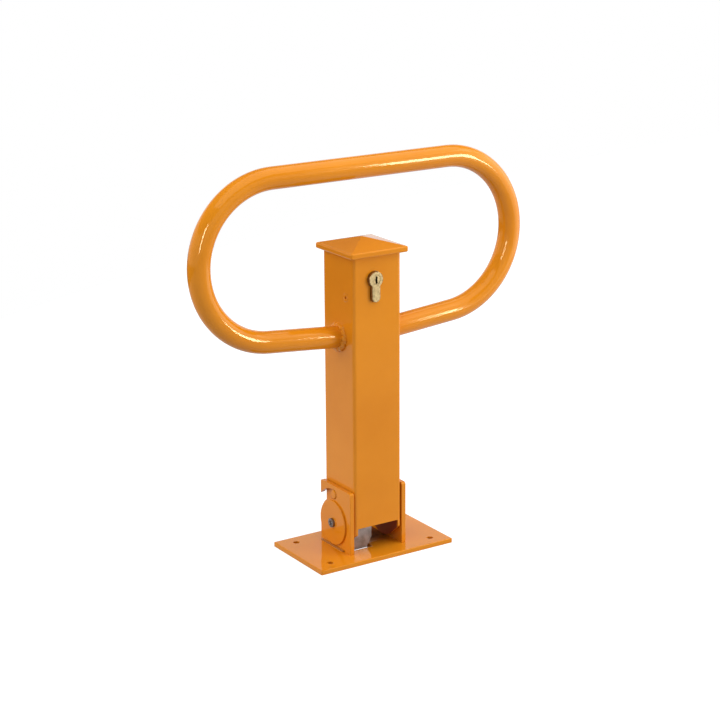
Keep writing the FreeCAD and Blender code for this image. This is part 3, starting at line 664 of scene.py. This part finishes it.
@dataclass
class Studio:
    """Floor, light and camera, in metres."""

    # Floor
    floor_r: float = 6.0
    floor_sides: int = 256
    floor_middle: Point = (2.77, -4.23, -0.0002)
    floor_colour: Colour = (0.42, 0.42, 0.42)
    floor_rough: float = 0.9
    floor_specular: float = 0.1
    floor_glow: float = 0.78
    floor_mirrored: float = 0.30
    # Sky: its fill light, and the cove that the gloss shows
    fill_above: float = 0.30
    fill_below: float = 0.20
    cove: float = 0.90
    ceiling: float = 0.15
    pit: float = 0.10
    cove_top: Pair = (0.378, 0.425)
    cove_foot: Pair = (-0.15, -0.09)
    # Washes
    left_wash: float = 1.90
    left_spread_deg: float = 70.0
    left_from: Point = (-0.85, 0.35, 0.39)
    right_wash: float = 1.40
    right_spread_deg: float = 26.0
    right_from: Point = (0.60, -0.78, 0.14)
    # Soft boxes
    top_at: Point = (0.15, -0.35, 1.65)
    top_size: Pair = (2.60, 1.65)
    top_power: float = 18.5
    side_at: Point = (0.62, -0.30, 0.47)
    side_size: Pair = (0.80, 0.85)
    side_power: float = 2.6
    # Strips that make the streaks in the gloss, and the nodes that they reach
    key_at: Point = (1.98, -2.40, 0.625)
    key_size: Pair = (0.69, 1.05)
    key_power: float = 50.0
    front_at: Point = (-1.75, -1.80, 0.95)
    front_size: Pair = (0.26, 1.05)
    front_power: float = 21.0
    streaked: Tuple[str, ...] = ("hoop", "cylinder_body", "cylinder_plug", "locking_bar",
                                 "axle_screws")
    # Camera
    aim: Point = (0.0, 0.0, 0.25)
    eye: Point = (-1.08473, -1.67371, 0.80205)
    roll_deg: float = -0.305
    lens: float = 96.62
    sensor: float = 36.0
    shift: Pair = (-0.002925, -0.04687)
    clip: Pair = (0.05, 200.0)

    def build(self) -> None:
        """Make the floor, the light and the camera."""
        self.make_floor()
        self.make_sky()
        self.make_lamps()
        self.make_camera()

    def make_floor(self) -> None:
        """Lay a plain pale floor, whose edge lies about a metre behind the object."""
        shape = bmesh.new()
        bmesh.ops.create_circle(shape, cap_ends=True, segments=self.floor_sides,
                                radius=self.floor_r)
        bmesh.ops.translate(shape, verts=shape.verts, vec=self.floor_middle)
        mesh = bpy.data.meshes.new("floor")
        shape.to_mesh(mesh)
        shape.free()
        mesh.materials.append(self.floor_finish())
        floor = bpy.data.objects.new("floor", mesh)
        bpy.context.scene.collection.objects.link(floor)

    def floor_finish(self) -> bpy.types.Material:
        """Paint the floor so that it looks white, and pale in the gloss.

        Returns:
            The floor's material.
        """
        shader = Shader("floor")
        path = shader.node("ShaderNodeLightPath")
        looked_at = shader.math("MULTIPLY", path.outputs["Is Camera Ray"], self.floor_glow)
        glow = shader.blend(self.mirrored(shader), looked_at, self.floor_mirrored)
        shader.link(glow, shader.surface.inputs["Emission Strength"])
        shader.set(Base_Color=(*self.floor_colour, 1.0), Emission_Color=WHITE,
                   Roughness=self.floor_rough, Specular_IOR_Level=self.floor_specular)
        return shader.material

    def mirrored(self, tree: NodeTree) -> Socket:
        """Tell what is seen in gloss or through glass from the rest.

        Args:
            tree: the node tree that asks.

        Returns:
            A socket that is 1 for what is seen there.
        """
        path = tree.node("ShaderNodeLightPath")
        return tree.math("MAXIMUM", path.outputs["Is Glossy Ray"],
                         path.outputs["Is Transmission Ray"])

    def make_sky(self) -> None:
        """Surround the scene with a white cove, darker overhead and below in the gloss."""
        world = bpy.data.worlds.new("sky")
        world.use_nodes = True
        bpy.context.scene.world = world
        sky = NodeTree(world.node_tree)
        output = sky.node("ShaderNodeOutputWorld")
        back = sky.node("ShaderNodeBackground")
        parts = sky.node("ShaderNodeSeparateXYZ")
        sky.link(sky.node("ShaderNodeTexCoord").outputs["Generated"], parts.inputs["Vector"])
        height = parts.outputs["Z"]
        glow = sky.math("MINIMUM", sky.level(height, self.cove_foot, (self.pit, self.cove)),
                        sky.level(height, self.cove_top, (self.cove, self.ceiling)))
        fill = sky.level(height, self.cove_foot, (self.fill_below, self.fill_above))
        light = sky.blend(self.mirrored(sky), fill, glow)
        path = sky.node("ShaderNodeLightPath")
        light = sky.blend(path.outputs["Is Camera Ray"], light, 1.0)
        sky.link(light, back.inputs["Strength"])
        back.inputs["Color"].default_value = WHITE
        sky.link(back.outputs["Background"], output.inputs["Surface"])

    def make_lamps(self) -> None:
        """Set a wash from each side, hang two wide soft boxes and two narrow ones for streaks."""
        self.wash("left_wash", self.left_wash, self.left_spread_deg, self.left_from)
        self.wash("right_wash", self.right_wash, self.right_spread_deg, self.right_from)
        self.softbox("top_softbox", self.top_power, self.top_size, self.top_at)
        self.softbox("side_softbox", self.side_power, self.side_size, self.side_at)
        streaked = bpy.data.collections.new("streaked")
        for node in self.streaked:
            streaked.objects.link(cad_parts[node])
        for lamp in (self.softbox("right_strip", self.key_power, self.key_size, self.key_at),
                     self.softbox("front_strip", self.front_power, self.front_size, self.front_at)):
            lamp.visible_diffuse = False
            lamp.light_linking.receiver_collection = streaked

    def wash(self, name: str, strength: float, spread_deg: float, source: Point) -> None:
        """Light one side evenly, with nothing to see in the gloss.

        Args:
            name: the lamp's name.
            strength: its strength.
            spread_deg: how wide it is in the sky.
            source: the direction that it comes from.
        """
        wash = self.lamp(name, "SUN", strength)
        wash.data.angle = math.radians(spread_deg)
        wash.rotation_mode = "QUATERNION"
        wash.rotation_quaternion = Vector(source).to_track_quat("Z", "Y")
        wash.visible_glossy = False

    def lamp(self, name: str, kind: str, power: float) -> bpy.types.Object:
        """Add one lamp.

        Args:
            name: the lamp's name.
            kind: its kind.
            power: its strength.

        Returns:
            The lamp's object.
        """
        data = bpy.data.lights.new(name, kind)
        data.energy = power
        lamp = bpy.data.objects.new(name, data)
        bpy.context.scene.collection.objects.link(lamp)
        return lamp

    def softbox(self, name: str, power: float, size: Pair, place: Point) -> bpy.types.Object:
        """Hang a soft box that points at the object.

        Args:
            name: the lamp's name.
            power: its strength.
            size: its width and height.
            place: where it hangs.

        Returns:
            The lamp's object.
        """
        lamp = self.lamp(name, "AREA", power)
        lamp.data.shape = "RECTANGLE"
        lamp.data.size, lamp.data.size_y = size
        lamp.location = place
        lamp.rotation_mode = "QUATERNION"
        lamp.rotation_quaternion = (Vector(place) - Vector(self.aim)).to_track_quat("Z", "Y")
        return lamp

    def make_camera(self) -> None:
        """Set the camera at the photograph's angle."""
        data = bpy.data.cameras.new("camera")
        data.lens = self.lens
        data.sensor_width = self.sensor
        data.sensor_fit = "HORIZONTAL"
        data.shift_x, data.shift_y = self.shift
        data.clip_start, data.clip_end = self.clip
        camera = bpy.data.objects.new("camera", data)
        bpy.context.scene.collection.objects.link(camera)
        forward = (Vector(self.aim) - Vector(self.eye)).normalized()
        right = forward.cross(Vector((0, 0, 1))).normalized()
        up = right.cross(forward)
        roll = math.radians(self.roll_deg)
        across = math.cos(roll) * right + math.sin(roll) * up
        upward = math.cos(roll) * up - math.sin(roll) * right
        turn = Matrix((across, upward, -forward)).transposed().to_4x4()
        camera.matrix_world = Matrix.Translation(self.eye) @ turn
        bpy.context.scene.camera = camera


def main() -> None:
    """Dress the frame, add the new pieces and light the scene."""
    logging.basicConfig(level=logging.INFO, format="%(name)s: %(message)s")
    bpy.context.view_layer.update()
    bpy.context.scene.view_settings.view_transform = "Standard"
    workshop = Workshop()
    base, post, lock = Base(), Post(), Lock()
    base.dress(workshop)
    base.build(workshop)
    post.dress(workshop)
    post.build(workshop)
    lock.dress(workshop)
    Studio().build()
    bpy.context.view_layer.update()


if __name__ == "__main__":
    main()
